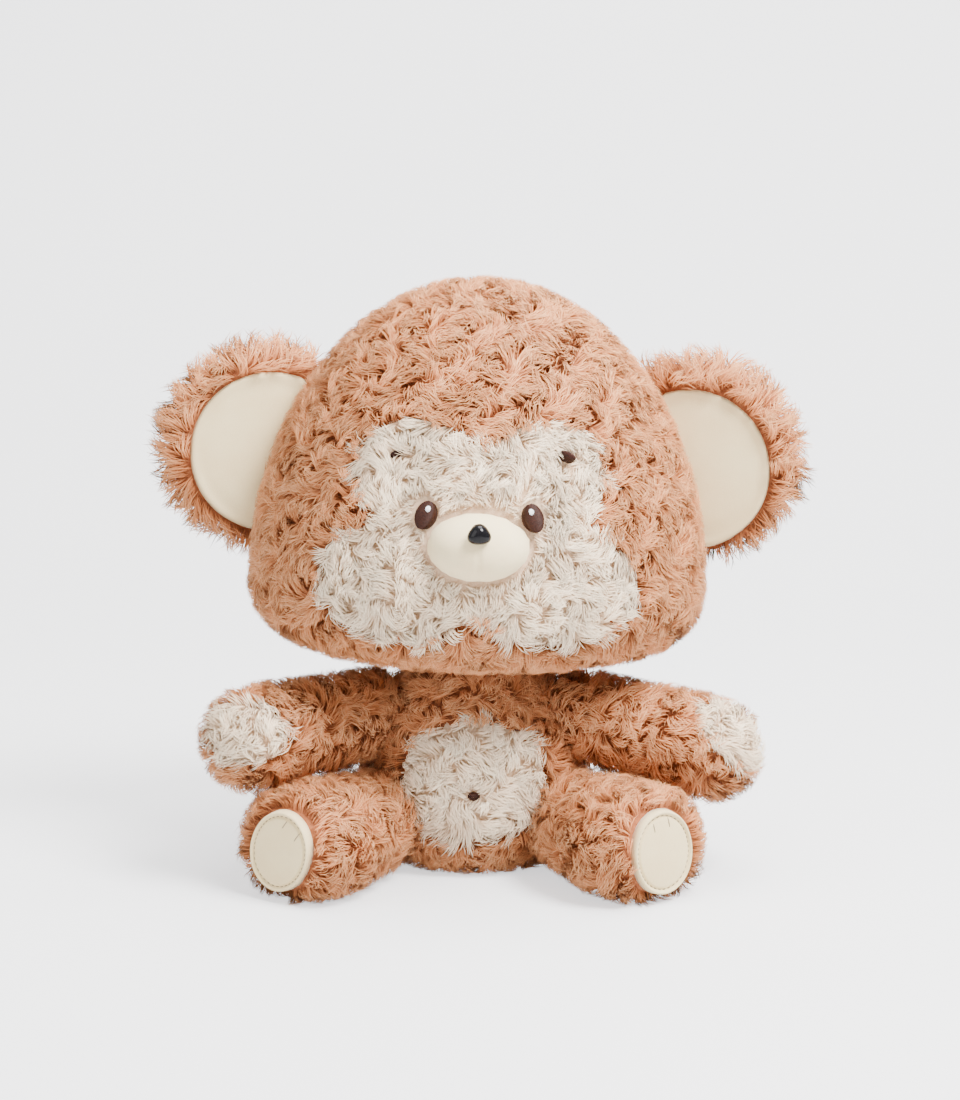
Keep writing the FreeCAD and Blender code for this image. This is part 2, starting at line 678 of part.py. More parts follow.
def build_leg(side):
    sign, place = SIDES[side], leg_frame(side)
    roll = sign * LEG_REST[side]["pad_roll"]
    shell = cut(side + "LegShell", leg_solid(side + "LegOutside", "0"), leg_solid(side + "LegInside", "fabric"))
    hole = sole_oval(
        side + "SoleHole", "pad_half_width + seam_room", "pad_half_height + seam_room",
        "leg_length - fabric * 2", "fabric * 3", roll,
    )
    keep(side + "_leg_cover", cut(side + "LegCover", shell, hole), place)
    plate = sole_oval(side + "FootPad", "pad_half_width", "pad_half_height", "leg_length - fabric", "fabric", roll)
    keep(side + "_foot_pad", plate, place)
    core = ball(side + "HipCore", "leg_root - fabric - room")
    filling = leg_solid(side + "LegFilling", "fabric + room")
    keep(side + "_leg_stuffing", cut(side + "LegStuffing", filling, core), place)
    keep(side + "_hip_stuffing", ball(side + "HipStuffing", "leg_root - fabric - room * 2"), place)
    keep(side + "_hip_seam", seam_ring(side + "HipSeam", "leg_root", "hip_seam_behind"), place)
    build_pad_stitching(side, roll, place)


def build_pad_stitching(side, roll, place):
    """The line of topstitching round the foot pad, and two short stitched toe lines above its middle."""
    stitches = []
    turn = sole_turn(roll)
    tall, wide = size("pad_half_height - stitch_inset"), size("pad_half_width - stitch_inset")
    count = 44
    for index in range(count):
        angle = 2 * math.pi * index / count
        point = Vector(tall * math.cos(angle), wide * math.sin(angle), 0)
        heading = Vector(-tall * math.sin(angle), wide * math.cos(angle), 0).normalize()
        stitches.append(thread_stitch(f"{side}PadStitch{index}", point, heading, "stitch_length", turn))
    group = doc.addObject("Part::Compound", side + "PadStitching")
    group.Links = stitches
    keep(side + "_pad_stitching", group, place)

    toes = []
    for toe, across in SIDES.items():
        point = Vector(size("toe_level"), across * size("toe_spread"), 0)
        toes.append(thread_stitch(f"{side}{toe}Toe", point, Vector(1, across / 6, 0).normalize(), "toe_length", turn))
    group = doc.addObject("Part::Compound", side + "ToeStitches")
    group.Links = toes
    keep(side + "_toe_stitches", group, place)


def thread_stitch(name, point, heading, length, turn):
    """A straight round-ended stitch that lies on the sole."""
    stitch = ellipsoid(name, "stitch_thread", "stitch_thread", f"{length} / 2")
    middle = turn.multVec(point) + Vector(size("leg_length + stitch_height"), 0, 0)
    stitch.Placement = Placement(middle, Rotation(Vector(0, 0, 1), turn.multVec(heading)))
    return stitch


# --- Build, check and write ---------------------------------------------------------------------------------


def main():
    build_torso()
    build_head()
    for side in SIDES:
        build_ear(side)
        build_arm(side)
        build_leg(side)
    doc.recompute()

    failed = [(item.Label, item.State) for item in doc.Objects if {"Invalid", "Error"} & set(item.State)]
    if failed:
        raise RuntimeError(f"these objects failed: {failed}")
    os.makedirs("parts", exist_ok=True)
    for node, item in kept.items():
        shape = item.Shape
        if shape.isNull() or not shape.isValid() or not shape.Solids:
            raise RuntimeError(f"{node} has no valid solid")
        shape.exportStep(f"parts/{node}.step")
    print(len(kept), "sub-parts written")


main()
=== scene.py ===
"""The looks of the sitting stuffed monkey: padded skins, tufted pile, embroidery, nose, light and camera.

Shapes are worked out in millimetres and written to meshes in metres.
The monkey faces -Y, and +X is its own left.
"""

import json
import math
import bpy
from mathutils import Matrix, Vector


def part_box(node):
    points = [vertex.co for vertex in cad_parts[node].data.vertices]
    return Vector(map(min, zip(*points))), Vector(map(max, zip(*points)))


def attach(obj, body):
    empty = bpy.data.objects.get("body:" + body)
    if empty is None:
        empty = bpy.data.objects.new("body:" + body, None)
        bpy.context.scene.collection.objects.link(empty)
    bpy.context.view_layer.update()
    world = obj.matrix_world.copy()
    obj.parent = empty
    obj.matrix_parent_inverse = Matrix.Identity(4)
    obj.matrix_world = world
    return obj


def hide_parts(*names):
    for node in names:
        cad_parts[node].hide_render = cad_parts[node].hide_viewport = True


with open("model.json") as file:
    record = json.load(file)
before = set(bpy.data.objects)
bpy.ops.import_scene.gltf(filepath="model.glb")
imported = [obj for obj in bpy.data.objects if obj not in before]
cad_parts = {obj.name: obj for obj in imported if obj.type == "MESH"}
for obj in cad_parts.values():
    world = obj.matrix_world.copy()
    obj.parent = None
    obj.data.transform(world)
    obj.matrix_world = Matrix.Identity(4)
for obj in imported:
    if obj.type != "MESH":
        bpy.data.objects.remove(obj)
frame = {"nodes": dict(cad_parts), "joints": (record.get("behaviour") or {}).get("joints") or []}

import zlib

import bmesh
import bpy
import numpy as np
from mathutils import Vector
from mathutils.bvhtree import BVHTree
from mathutils.kdtree import KDTree

MM = 0.001
SIDES = {"left": 1, "right": -1}
NODES = frame["nodes"]
JOINTS = {joint["name"]: joint for joint in frame["joints"]}

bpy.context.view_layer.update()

# --- Pile: how long, how thick and how tufted, in millimetres -----------------------------------------------

STRANDS_PER_MM2 = 0.86
STRANDS_PER_PIECE = 12400
STRAND_HALF_WIDTH = 0.26
BROWN_LENGTH = 14.0
PALE_LENGTH = 12.5
EAR_LENGTH = 17.0
BROWN_TUFT = 5.0
PALE_TUFT = 7.5
BROWN_SWIRL = 19.0
PALE_SWIRL = 22.0
COMB_DOWN = (0, 0, -0.45)
COMB_DOWN_GENTLY = (0, 0, -0.25)
HAND_PATCH_MARGIN = 4.0

# The short soft strands between the long ones: how many, how long, and how far they are pulled to a tuft.
UNDERCOAT = 0.25
UNDERCOAT_LENGTH = 0.62
UNDERCOAT_PULL = 0.45

# A strand's path at each of its four points, as shares of its length: how far it rises off the cloth, runs
# along it and curls sideways. Then how far each point is pulled to the strand's tuft, how high it counts for
# colour, how far its shading leans along the strand, and how thick the strand is at its first three points.
RISE = np.array([-0.05, 0.34, 0.57, 0.64])
RUN = np.array([0.0, 0.09, 0.33, 0.56])
CURL = np.array([0.0, 0.02, 0.14, 0.34])
GATHER = np.array([0.0, 0.20, 0.42, 0.46])
HEIGHT = np.array([0.0, 0.36, 0.70, 1.0])
LEAN = np.array([0.0, 0.25, 0.5, 0.7])
THICKNESS = np.array([1.0, 1.0, 0.8])

# --- Cloth and stitches, in millimetres ---------------------------------------------------------------------

CLOTH_PRESSURE = 4.0
CLOTH_FRAMES = 20
FLOOR_CLEARANCE = 0.25
SKIN_FLOOR = 0.4
DISC_STEPS = 96
THREAD_SIDES = 6
EYE_LIFT = 2.6
EYE_DOME = 1.3
BROW_LIFT = {"left": 4.0, "right": 0.5}
BROW_CLEARING = {"left": 3.4, "right": 0.0}
SOLE_SPREAD = 1.06
SOLE_STITCH_LINE = 0.86
SOLE_STITCHES = 40


def random_for(name):
    """A random source of the piece's own, so no piece depends on the order the others are made in."""
    return np.random.default_rng(zlib.crc32(name.encode()))


def unit(vectors):
    return vectors / np.maximum(np.linalg.norm(vectors, axis=-1, keepdims=True), 1e-9)


def smooth(low, high, value):
    share = np.clip((value - low) / (high - low), 0, 1)
    return share * share * (3 - 2 * share)


# --- Mesh helpers -------------------------------------------------------------------------------------------


def new_object(name, verts, faces, body, material=None):
    """A mesh object from points in millimetres, riding on a body."""
    mesh = bpy.data.meshes.new(name)
    mesh.from_pydata((np.asarray(verts, float) * MM).tolist(), [], [list(map(int, face)) for face in faces])
    mesh.validate()
    obj = bpy.data.objects.new(name, mesh)
    bpy.context.scene.collection.objects.link(obj)
    if material:
        mesh.materials.append(material)
    for polygon in mesh.polygons:
        polygon.use_smooth = True
    if body:
        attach(obj, body)
    return obj


def points_of(obj):
    """An object's mesh points, in millimetres."""
    flat = np.zeros(len(obj.data.vertices) * 3, np.float32)
    obj.data.vertices.foreach_get("co", flat)
    return flat.reshape(-1, 3).astype(float) / MM


def set_points(obj, points):
    obj.data.vertices.foreach_set("co", (points * MM).astype(np.float32).ravel())
    obj.data.update()


def normals_of(obj):
    flat = np.zeros(len(obj.data.vertices) * 3, np.float32)
    obj.data.vertices.foreach_get("normal", flat)
    return flat.reshape(-1, 3).astype(float)


def triangles_of(obj):
    obj.data.calc_loop_triangles()
    flat = np.zeros(len(obj.data.loop_triangles) * 3, np.int32)
    obj.data.loop_triangles.foreach_get("vertices", flat)
    return flat.reshape(-1, 3)


def apply_modifiers(obj):
    graph = bpy.context.evaluated_depsgraph_get()
    mesh = bpy.data.meshes.new_from_object(obj.evaluated_get(graph))
    obj.modifiers.clear()
    old, obj.data = obj.data, mesh
    mesh.name = old.name
    bpy.data.meshes.remove(old)
    for polygon in obj.data.polygons:
        polygon.use_smooth = True


def hull(name, nodes):
    """The outer form of some CAD nodes, as one convex closed mesh with no body yet."""
    cloud = np.vstack([points_of(NODES[node]) for node in nodes])
    made = bmesh.new()
    for point in np.unique(np.round(cloud, 2), axis=0) * MM:
        made.verts.new(point)
    result = bmesh.ops.convex_hull(made, input=made.verts)
    spare = result["geom_interior"] + result["geom_unused"]
    loose = {item for item in spare if isinstance(item, bmesh.types.BMVert)}
    bmesh.ops.delete(made, geom=list(loose), context="VERTS")
    mesh = bpy.data.meshes.new(name)
    made.to_mesh(mesh)
    made.free()
    obj = bpy.data.objects.new(name, mesh)
    bpy.context.scene.collection.objects.link(obj)
    return obj


def remesh(obj, voxel):
    modifier = obj.modifiers.new("Remesh", "REMESH")
    modifier.mode = "VOXEL"
    modifier.voxel_size = voxel * MM
    apply_modifiers(obj)


def subdivide(obj):
    modifier = obj.modifiers.new("Subdivide", "SUBSURF")
    modifier.levels = modifier.render_levels = 1
    apply_modifiers(obj)


def weld(obj):
    """Joins points that share a place."""
    made = bmesh.new()
    made.from_mesh(obj.data)
    bmesh.ops.remove_doubles(made, verts=made.verts, dist=0.01 * MM)
    bmesh.ops.recalc_face_normals(made, faces=made.faces)
    made.to_mesh(obj.data)
    made.free()


def relax(obj, factor, rounds):
    modifier = obj.modifiers.new("Relax", "SMOOTH")
    modifier.factor = factor
    modifier.iterations = rounds
    apply_modifiers(obj)


def swell(obj, start_inside, cap):
    """Fills a closed skin like a stuffed cover: cloth under pressure, with no point moving more than cap."""
    target = points_of(obj)
    set_points(obj, target - normals_of(obj) * start_inside)
    begin = points_of(obj)
    cloth = obj.modifiers.new("Cloth", "CLOTH")
    settings = cloth.settings
    settings.quality = 5
    settings.mass = 0.3
    settings.tension_stiffness = 12
    settings.compression_stiffness = 12
    settings.bending_stiffness = 1.0
    settings.use_pressure = True
    settings.uniform_pressure_force = CLOTH_PRESSURE
    settings.effector_weights.gravity = 0
    cloth.collision_settings.use_collision = False
    scene = bpy.context.scene
    for number in range(1, CLOTH_FRAMES + 1):
        scene.frame_set(number)
    apply_modifiers(obj)
    scene.frame_set(1)
    moved = points_of(obj) - begin
    length = np.linalg.norm(moved, axis=1, keepdims=True)
    set_points(obj, begin + moved * np.minimum(1, cap / np.maximum(length, 1e-9)))
    relax(obj, 0.5, 4)


# --- Materials ----------------------------------------------------------------------------------------------


class Nodes:
    """A short way to write a material's node tree."""

    def __init__(self, name, roughness=0.8, **settings):
        self.material = bpy.data.materials.new(name)
        self.material.use_nodes = True
        self.tree = self.material.node_tree
        self.shader = self.tree.nodes["Principled BSDF"]
        self.set("Roughness", roughness)
        for key, value in settings.items():
            self.set(key.replace("_", " ").title().replace("Ior", "IOR"), value)

    def set(self, socket, value):
        if isinstance(value, bpy.types.NodeSocket):
            self.tree.links.new(value, self.shader.inputs[socket])
        else:
            self.shader.inputs[socket].default_value = value

    def add(self, kind, values=None, **properties):
        node = self.tree.nodes.new(kind)
        for key, value in properties.items():
            setattr(node, key, value)
        for key, value in (values or {}).items():
            if isinstance(value, bpy.types.NodeSocket):
                self.tree.links.new(value, node.inputs[key])
            else:
                node.inputs[key].default_value = value
        return node

    def place(self):
        return self.add("ShaderNodeTexCoord").outputs["Object"]

    def noise(self, scale, detail=3.0, vector=None, roughness=0.5):
        values = {"Vector": vector or self.place(), "Scale": scale, "Detail": detail, "Roughness": roughness}
        return self.add("ShaderNodeTexNoise", values).outputs["Fac"]

    def ramp(self, factor, stops):
        node = self.add("ShaderNodeValToRGB", {"Fac": factor})
        elements = node.color_ramp.elements
        while len(elements) < len(stops):
            elements.new(0.5)
        for element, (position, colour) in zip(elements, stops):
            element.position = position
            element.color = (*colour, 1)
        return node.outputs["Color"]

    def maths(self, operation, first, second):
        return self.add("ShaderNodeMath", {0: first, 1: second}, operation=operation).outputs[0]

    def mix(self, factor, first, second, blend="MIX"):
        node = self.add("ShaderNodeMix", data_type="RGBA", blend_type=blend)
        for index, value in ((0, factor), (6, first), (7, second)):
            if isinstance(value, bpy.types.NodeSocket):
                self.tree.links.new(value, node.inputs[index])
            elif index:
                node.inputs[index].default_value = (*value, 1)
            else:
                node.inputs[index].default_value = value
        return node.outputs[2]

    def bump(self, height, strength, distance):
        node = self.add("ShaderNodeBump", {"Height": height, "Strength": strength, "Distance": distance * MM})
        self.set("Normal", node.outputs["Normal"])


def pile_material(name, deep, root, middle, tip):
    """Plush fibre: darker at its root and lighter at its tip, partly the fibre's own tone and partly painted
    shade deep in the pile and painted light at the tips, and a little different from tuft to tuft and from
    strand to strand.
    """
    made = Nodes(name, roughness=0.62, specular_ior_level=0.25)
    marks = made.add("ShaderNodeAttribute", attribute_name="pile").outputs["Color"]
    parts = made.add("ShaderNodeSeparateColor", {"Color": marks})
    along, tuft, strand = parts.outputs["Red"], parts.outputs["Green"], parts.outputs["Blue"]
    shift = made.maths("ADD", made.maths("MULTIPLY", tuft, 0.16), made.maths("MULTIPLY", strand, 0.26))
    level = made.maths("ADD", made.maths("MULTIPLY", along, 0.74), made.maths("SUBTRACT", shift, 0.04))
    # The ramp runs from painted shade at the root (deep) to painted light at the tip, over the fibre's own
    # colour.
    colour = made.ramp(level, ((0.0, deep), (0.28, root), (0.62, middle), (1.0, tip)))
    made.set("Base Color", colour)
    made.set("Sheen Weight", 0.12)
    made.set("Sheen Roughness", 0.45)
    made.set("Sheen Tint", (*middle, 1))
    return made.material


def backing_material(name, colour, dark):
    """The knitted cloth the pile grows from, seen only between tufts."""
    made = Nodes(name, roughness=0.95)
    made.set("Base Color", made.ramp(made.noise(420, 4), ((0.3, dark), (0.7, colour))))
    made.bump(made.noise(900, 2), 0.6, 0.5)
    return made.material


def velour_material(name, light, shade):
    """Smooth short-pile cloth: a fine nap, faint brushed patches and soft sheen."""
    made = Nodes(name, roughness=0.88)
    cloud = made.noise(38, 4, roughness=0.6)
    fine = made.noise(1500, 2)
    broad = made.ramp(cloud, ((0.32, shade), (0.68, light)))
    nap = made.ramp(fine, ((0.3, shade), (0.7, (1, 1, 1))))
    made.set("Base Color", made.mix(0.12, broad, nap, "MULTIPLY"))
    made.set("Sheen Weight", 0.2)
    made.set("Sheen Roughness", 0.4)
    made.bump(made.maths("ADD", made.maths("MULTIPLY", cloud, 0.5), fine), 0.35, 0.25)
    return made.material


def thread_material(name, light, dark, roughness=0.5):
    """Spun embroidery thread: fine twisted fibres along each stitch."""
    made = Nodes(name, roughness=roughness, specular_ior_level=0.2)
    made.set("Base Color", made.ramp(made.noise(1900, 3), ((0.3, dark), (0.72, light))))
    made.bump(made.noise(2600, 2), 0.5, 0.1)
    return made.material


def nose_material():
    """Black moulded plastic with a gloss coat, a little dust and the faintest orange peel."""
    made = Nodes("nose_black", coat_weight=0.2, coat_roughness=0.04, specular_ior_level=0.12)
    dust = made.noise(240, 4)
    made.set("Base Color", made.ramp(dust, ((0.3, (0.003, 0.003, 0.004)), (0.8, (0.008, 0.007, 0.008)))))
    made.set("Roughness", 0.16)
    made.bump(made.noise(420, 2), 0.08, 0.2)
    return made.material


def plain_cloth(name, colour, dark, scale=700):
    """Woven pouch cloth, satin or plastic pellets, told apart by the size of their grain."""
    made = Nodes(name, roughness=0.9)
    made.set("Base Color", made.ramp(made.noise(scale, 4), ((0.25, dark), (0.75, colour))))
    made.bump(made.noise(scale * 1.4, 3), 0.5, 0.4)
    return made.material


# Stops from root to tip: the dark ones are partly painted shade deep in the pile, and the light tip is partly
# painted light.
BROWN = pile_material(
    "brown_pile", (0.22, 0.055, 0.014), (0.40, 0.122, 0.037), (0.61, 0.230, 0.085), (0.82, 0.42, 0.20)
)
CREAM = pile_material(
    "cream_pile", (0.66, 0.40, 0.21), (0.84, 0.59, 0.38), (0.98, 0.76, 0.53), (1.00, 0.86, 0.64)
)
BROWN_BACKING = backing_material("brown_backing", (0.40, 0.13, 0.045), (0.25, 0.07, 0.022))
CREAM_BACKING = backing_material("cream_backing", (0.80, 0.59, 0.40), (0.66, 0.43, 0.27))
MUZZLE_CLOTH = velour_material("muzzle_velour", (0.92, 0.78, 0.48), (0.87, 0.71, 0.42))
LINING = velour_material("pale_velour", (0.81, 0.67, 0.38), (0.76, 0.60, 0.33))
DARK_THREAD = thread_material("dark_thread", (0.052, 0.014, 0.007), (0.014, 0.004, 0.002))
WHITE_THREAD = thread_material("white_thread", (0.95, 0.95, 0.96), (0.78, 0.78, 0.80))
TOPSTITCH = thread_material("topstitch_thread", (0.42, 0.33, 0.22), (0.20, 0.14, 0.09))
BROWN_THREAD = thread_material("brown_thread", (0.42, 0.20, 0.10), (0.22, 0.09, 0.04), 0.7)
NOSE_BLACK = nose_material()
POUCH_CLOTH = plain_cloth("pouch_cloth", (0.86, 0.83, 0.74), (0.70, 0.66, 0.56), 1200)
SATIN = plain_cloth("label_satin", (0.95, 0.95, 0.94), (0.84, 0.84, 0.83), 2400)
PLASTIC = plain_cloth("clear_plastic", (0.86, 0.86, 0.84), (0.76, 0.76, 0.74), 90)


# --- Pile ---------------------------------------------------------------------------------------------------


class Swirl:
    """A smooth random field whose slope, turned a quarter round the cloth's normal, makes whorls of pile."""

    def __init__(self, name, size, waves=18):
        rng = random_for(name)
        heading = unit(rng.normal(size=(waves, 3)))
        self.wave = heading * (2 * np.pi / (size * rng.uniform(0.7, 1.6, (waves, 1))))
        self.phase = rng.uniform(0, 2 * np.pi, waves)
        self.share = math.sqrt(2 / waves) / np.linalg.norm(self.wave, axis=1)

    def slope(self, points):
        return (np.cos(points @ self.wave.T + self.phase) * self.share) @ self.wave


def scatter(cloth, name):
    """Even random points on a cloth skin, with its smooth normals there."""
    rng = random_for(name + "_roots")
    points, normals, corners = points_of(cloth), normals_of(cloth), triangles_of(cloth)
    a, b, c = (points[corners[:, i]] for i in range(3))
    area = np.linalg.norm(np.cross(b - a, c - a), axis=1) / 2
    edges = np.cumsum(area)
    count = int(edges[-1] * STRANDS_PER_MM2)
    picked = np.searchsorted(edges, (np.arange(count) + rng.uniform(size=count)) / count * edges[-1])
    picked = np.minimum(picked, len(area) - 1)
    u, v = rng.uniform(size=(2, count))
    over = u + v > 1
    u[over], v[over] = 1 - u[over], 1 - v[over]
    weights = np.stack([1 - u - v, u, v], axis=1)[:, :, None]
    return (points[corners[picked]] * weights).sum(1), unit((normals[corners[picked]] * weights).sum(1))


def tuft_centres(roots, spacing, name):
    """Some of the roots, about spacing apart, to be the middles of tufts."""
    order = random_for(name + "_tufts").permutation(len(roots))
    around = [(i, j, k) for i in (-1, 0, 1) for j in (-1, 0, 1) for k in (-1, 0, 1)]
    closest = (0.8 * spacing) ** 2
    chosen, taken = [], {}
    for index in order:
        cell = tuple((roots[index] // spacing).astype(int))
        near = (taken.get((cell[0] + i, cell[1] + j, cell[2] + k)) for i, j, k in around)
        if any(other is not None and np.sum((roots[index] - roots[other]) ** 2) < closest for other in near):
            continue
        taken[cell] = index
        chosen.append(index)
    return np.array(chosen)


def nearest(centres, points):
    """Which centre is nearest to each point."""
    tree = KDTree(len(centres))
    for index, point in enumerate(centres):
        tree.insert(point, index)
    tree.balance()
    return np.array([tree.find(point)[1] for point in points])


def flat_on(vectors, normals):
    """Directions turned to lie in the cloth."""
    return unit(vectors - normals * np.sum(vectors * normals, axis=1, keepdims=True))


def lay(points, normals, swirl, comb):
    """Which way the pile lies at each point: round the whorls, plus a steady comb direction."""
    slope = swirl.slope(points)
    return flat_on(np.cross(normals, slope) * 1.25 + slope * 0.25 + comb, normals)


def paths(roots, normals, heading, length, curl):
    """Each strand's middle line: four points, given where it grows, the way it lies and how it curls."""
    side = np.cross(normals, heading)
    length = length[:, None, None]
    return (
        roots[:, None, :]
        + normals[:, None, :] * RISE[None, :, None] * length
        + heading[:, None, :] * RUN[None, :, None] * length
        + side[:, None, :] * CURL[None, :, None] * length * curl[:, None, None]
    )


def grow_pile(name, roots, normals, body, material, length=BROWN_LENGTH, comb=COMB_DOWN, share=1.0,
              spacing=BROWN_TUFT, swirl_size=BROWN_SWIRL):
    """Grows tufted pile from roots, as pieces that are each a closed mesh of many tapered strands."""
    rng = random_for(name)
    count = len(roots)
    centres = tuft_centres(roots, spacing, name)
    tuft = nearest(roots[centres], roots)
    share = np.broadcast_to(share, (count,))
    heading = lay(roots, normals, Swirl(name + "_swirl", swirl_size), np.broadcast_to(comb, (count, 3)))
    drift = rng.normal(scale=0.35, size=(len(centres), 3))
    turned = flat_on(unit(heading[centres] + drift), normals[centres])
    tuft_length = length * rng.uniform(0.86, 1.12, len(centres)) * share[centres]
    tuft_curl = rng.choice([-1.0, 1.0], len(centres)) * rng.uniform(0.5, 1.7, len(centres))
    tuft_lines = paths(roots[centres], normals[centres], turned, tuft_length, tuft_curl)

    under = rng.uniform(size=count) < UNDERCOAT
    strand_length = length * share * rng.uniform(0.72, 1.12, count) * np.where(under, UNDERCOAT_LENGTH, 1.0)
    mixed = flat_on(0.45 * heading + 0.55 * turned[tuft] + rng.normal(scale=0.34, size=(count, 3)), normals)
    lines = paths(roots, normals, mixed, strand_length, tuft_curl[tuft] * rng.uniform(0.5, 1.3, count))
    hold = rng.uniform(0.55, 1.0, count) * np.where(under, UNDERCOAT_PULL, 1.0)
    pull = (GATHER[None, :] * hold[:, None])[:, :, None]
    offset = (roots - roots[centres][tuft])[:, None, :] * 0.22
    lines = lines * (1 - pull) + (tuft_lines[tuft] + offset) * pull
    lines[:, :, 2] = np.maximum(lines[:, :, 2], FLOOR_CLEARANCE + rng.uniform(0, 0.8, count)[:, None])

    tuft_tone = rng.uniform(size=len(centres))[tuft]
    # Undercoat strands take darker tones: painted shade low in the pile.
    strand_tone = rng.uniform(size=count) * np.where(under, 0.4, 1.0)
    tone = np.stack([tuft_tone, strand_tone], axis=1)
    middle = roots.mean(0)
    around = np.arctan2(roots[:, 0] - middle[0], roots[:, 1] - middle[1])
    pieces = max(1, math.ceil(count / STRANDS_PER_PIECE))
    for number, group in enumerate(np.array_split(np.argsort(around, kind="stable"), pieces)):
        label = name if pieces == 1 else f"{name}_{number + 1}"
        strand_mesh(label, lines[group], normals[group], tone[group], body, material)


def strand_points(lines, normals):
    """Ten points a strand, three round each lower point of its path and one at its tip, and their normals."""
    along = unit(np.gradient(lines, axis=1))
    side = unit(np.cross(along, normals[:, None, :]))
    lift = np.cross(side, along)
    leaning = normals[:, None, :] + along * LEAN[None, :, None]
    width = STRAND_HALF_WIDTH * THICKNESS[None, :, None]
    points = np.empty((len(lines), 10, 3))
    shading = np.empty((len(lines), 10, 3))
    for corner, (way, flatness) in enumerate([(-side, 1.0), (side, 1.0), (lift, 0.75)]):
        points[:, corner:9:3] = lines[:, :3] + way[:, :3] * width * flatness
        shading[:, corner:9:3] = leaning[:, :3] + way[:, :3] * 0.55
    points[:, 9] = lines[:, 3]
    shading[:, 9] = leaning[:, 3]
    return points, unit(shading)


def strand_triangles(count):
    """The faces of that many strands: a closed root, two bands of sides and a pointed tip."""
    faces = [(0, 1, 2), (7, 6, 9), (8, 7, 9), (6, 8, 9)]
    for level in (0, 3):
        for i in range(3):
            j = (i + 1) % 3
            a, b, c, d = level + i, level + j, level + 3 + j, level + 3 + i
            faces += [(a, c, b), (a, d, c)]
    return (np.array(faces)[None] + (np.arange(count) * 10)[:, None, None]).reshape(-1, 3)


def mark_strands(mesh, tone, triangles):
    """Stores each point's height and tones for the material, and gives each strand a patch of the map."""
    count, cells = len(tone), 128
    height = np.repeat(HEIGHT, 3)[:10]
    colour = np.ones((count, 10, 4), np.float32)
    colour[:, :, 0] = height
    colour[:, :, 1:3] = tone[:, None]
    mesh.color_attributes.new("pile", "FLOAT_COLOR", "POINT").data.foreach_set("color", colour.ravel())

    cell = np.stack([np.arange(count) % cells, np.arange(count) // cells], axis=1) / cells
    across = np.array([0.2, 0.8, 0.5] * 3 + [0.5])
    patch = np.stack([across, 0.08 + 0.84 * height], axis=1) / cells
    place = (cell[:, None, :] + patch[None]).reshape(-1, 2)
    layer = mesh.uv_layers.new(name="OFBake")
    layer.data.foreach_set("uv", place[triangles.ravel()].astype(np.float32).ravel())


def strand_mesh(name, lines, normals, tone, body, material):
    """Closed three-sided tapered strands along the lines."""
    points, shading = strand_points(lines, normals)
    triangles = strand_triangles(len(lines))
    mesh = bpy.data.meshes.new(name)
    mesh.vertices.add(len(lines) * 10)
    mesh.loops.add(len(triangles) * 3)
    mesh.polygons.add(len(triangles))
    mesh.vertices.foreach_set("co", (points * MM).astype(np.float32).ravel())
    mesh.loops.foreach_set("vertex_index", triangles.ravel().astype(np.int32))
    mesh.polygons.foreach_set("loop_start", np.arange(0, len(triangles) * 3, 3, dtype=np.int32))
    mesh.polygons.foreach_set("use_smooth", np.ones(len(triangles), bool))
    mesh.update(calc_edges=True)
    mark_strands(mesh, tone, triangles)
    mesh.normals_split_custom_set_from_vertices(shading.reshape(-1, 3).astype(np.float32))
    mesh.materials.append(material)
    obj = bpy.data.objects.new(name, mesh)
    bpy.context.scene.collection.objects.link(obj)
    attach(obj, body)


# --- Skins --------------------------------------------------------------------------------------------------


def skin(name, body, nodes, voxel=6.0, inside=2.0, cap=3.0, seated=False):
    """A stuffed cover's cloth backing, swollen from the CAD covers' outer form, flat below if seated."""
    obj = hull(name, nodes)
    remesh(obj, voxel)
    swell(obj, inside, cap)
    if seated:
        points = points_of(obj)
        points[:, 2] = np.maximum(points[:, 2], SKIN_FLOOR)
        set_points(obj, points)
    obj.data.materials.append(BROWN_BACKING)
    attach(obj, body)
    return obj


def line_panel(obj, panel, cover, margin=0.0):
    """Gives the cloth under a pale panel its own pale backing."""
    obj.data.materials.append(CREAM_BACKING)
    centres = np.array([polygon.center for polygon in obj.data.polygons]) / MM
    over = over_panel(centres, panel, cover, margin)
    obj.data.polygons.foreach_set("material_index", over.astype(np.int32))


def stand_for(obj, slot, *nodes):
    """Shows this piece in place of its CAD nodes by hiding them; the slot is not used."""
    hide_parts(*nodes)


def tree_of(node):
    return BVHTree.FromPolygons(points_of(NODES[node]).tolist(), triangles_of(NODES[node]).tolist())


def over_panel(points, panel, cover, margin=0.0):
    """Which points lie over a sewn-in panel, or within a margin of it, not over the cover round it."""
    inner, outer = tree_of(panel), tree_of(cover)
    to_panel = np.array([inner.find_nearest(point)[3] for point in points])
    to_cover = np.array([outer.find_nearest(point)[3] for point in points])
    return to_panel < to_cover + margin


def middle_of(node):
    low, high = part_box(node)
    return np.array((low + high) / 2) / MM


